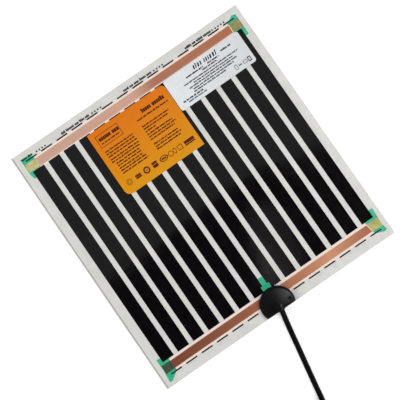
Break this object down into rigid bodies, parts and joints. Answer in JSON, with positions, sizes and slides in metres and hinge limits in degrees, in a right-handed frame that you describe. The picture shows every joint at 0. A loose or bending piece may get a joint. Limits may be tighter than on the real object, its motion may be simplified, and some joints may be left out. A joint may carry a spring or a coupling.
{
  "type": "mirror heating mat",
  "caption": "Flat electric heating film with carbon strips between copper bars, labels, a half-round terminal housing and a coiled supply cord, made to stick to a mirror's back.",
  "frame": {"origin": "middle of the film's underside, which is the face that gets stuck to the mirror", "axes": "+X along the copper bars, +Y along the carbon strips away from the cord, +Z out of the printed face"},
  "size_m": [0.274, 0.4397, 0.0127],
  "materials": {
    "film": "translucent white polyester film, slightly glossy",
    "carbon": "printed carbon ink under clear gloss film",
    "copper": "bright copper foil under clear film",
    "tape": "translucent green polyester tape",
    "info_label": "satin coated label, orange to amber",
    "rating_label": "satin coated white label",
    "housing": "moulded black plastic, fine satin texture",
    "cord": "extruded black sheath, smooth satin",
    "tie": "black plastic strap",
    "brown_core": "smooth brown core insulation",
    "blue_core": "smooth blue core insulation",
    "bare_copper": "bare stranded copper"
  },
  "bodies": {
    "root": {"film_sheet": "film", "carbon_strip_01": "carbon", "carbon_strip_02": "carbon", "carbon_strip_03": "carbon", "carbon_strip_04": "carbon", "carbon_strip_05": "carbon", "carbon_strip_06": "carbon", "carbon_strip_07": "carbon", "carbon_strip_08": "carbon", "carbon_strip_09": "carbon", "carbon_strip_10": "carbon", "carbon_strip_11": "carbon", "carbon_strip_12": "carbon", "carbon_strip_13": "carbon", "carbon_strip_14": "carbon", "copper_bar_top": "copper", "copper_bar_bottom": "copper", "corner_tape_top_left": "tape", "corner_tape_top_right": "tape", "corner_tape_bottom_left": "tape", "corner_tape_bottom_right": "tape", "terminal_tape": "tape", "info_label": "info_label", "rating_label": "rating_label", "terminal_housing": "housing", "power_cord": "cord", "cord_coil": "cord", "cord_tail": "cord", "coil_tie": "tie", "core_brown": "brown_core", "core_blue": "blue_core", "stripped_end_brown": "bare_copper", "stripped_end_blue": "bare_copper"}
  },
  "joints": []
}
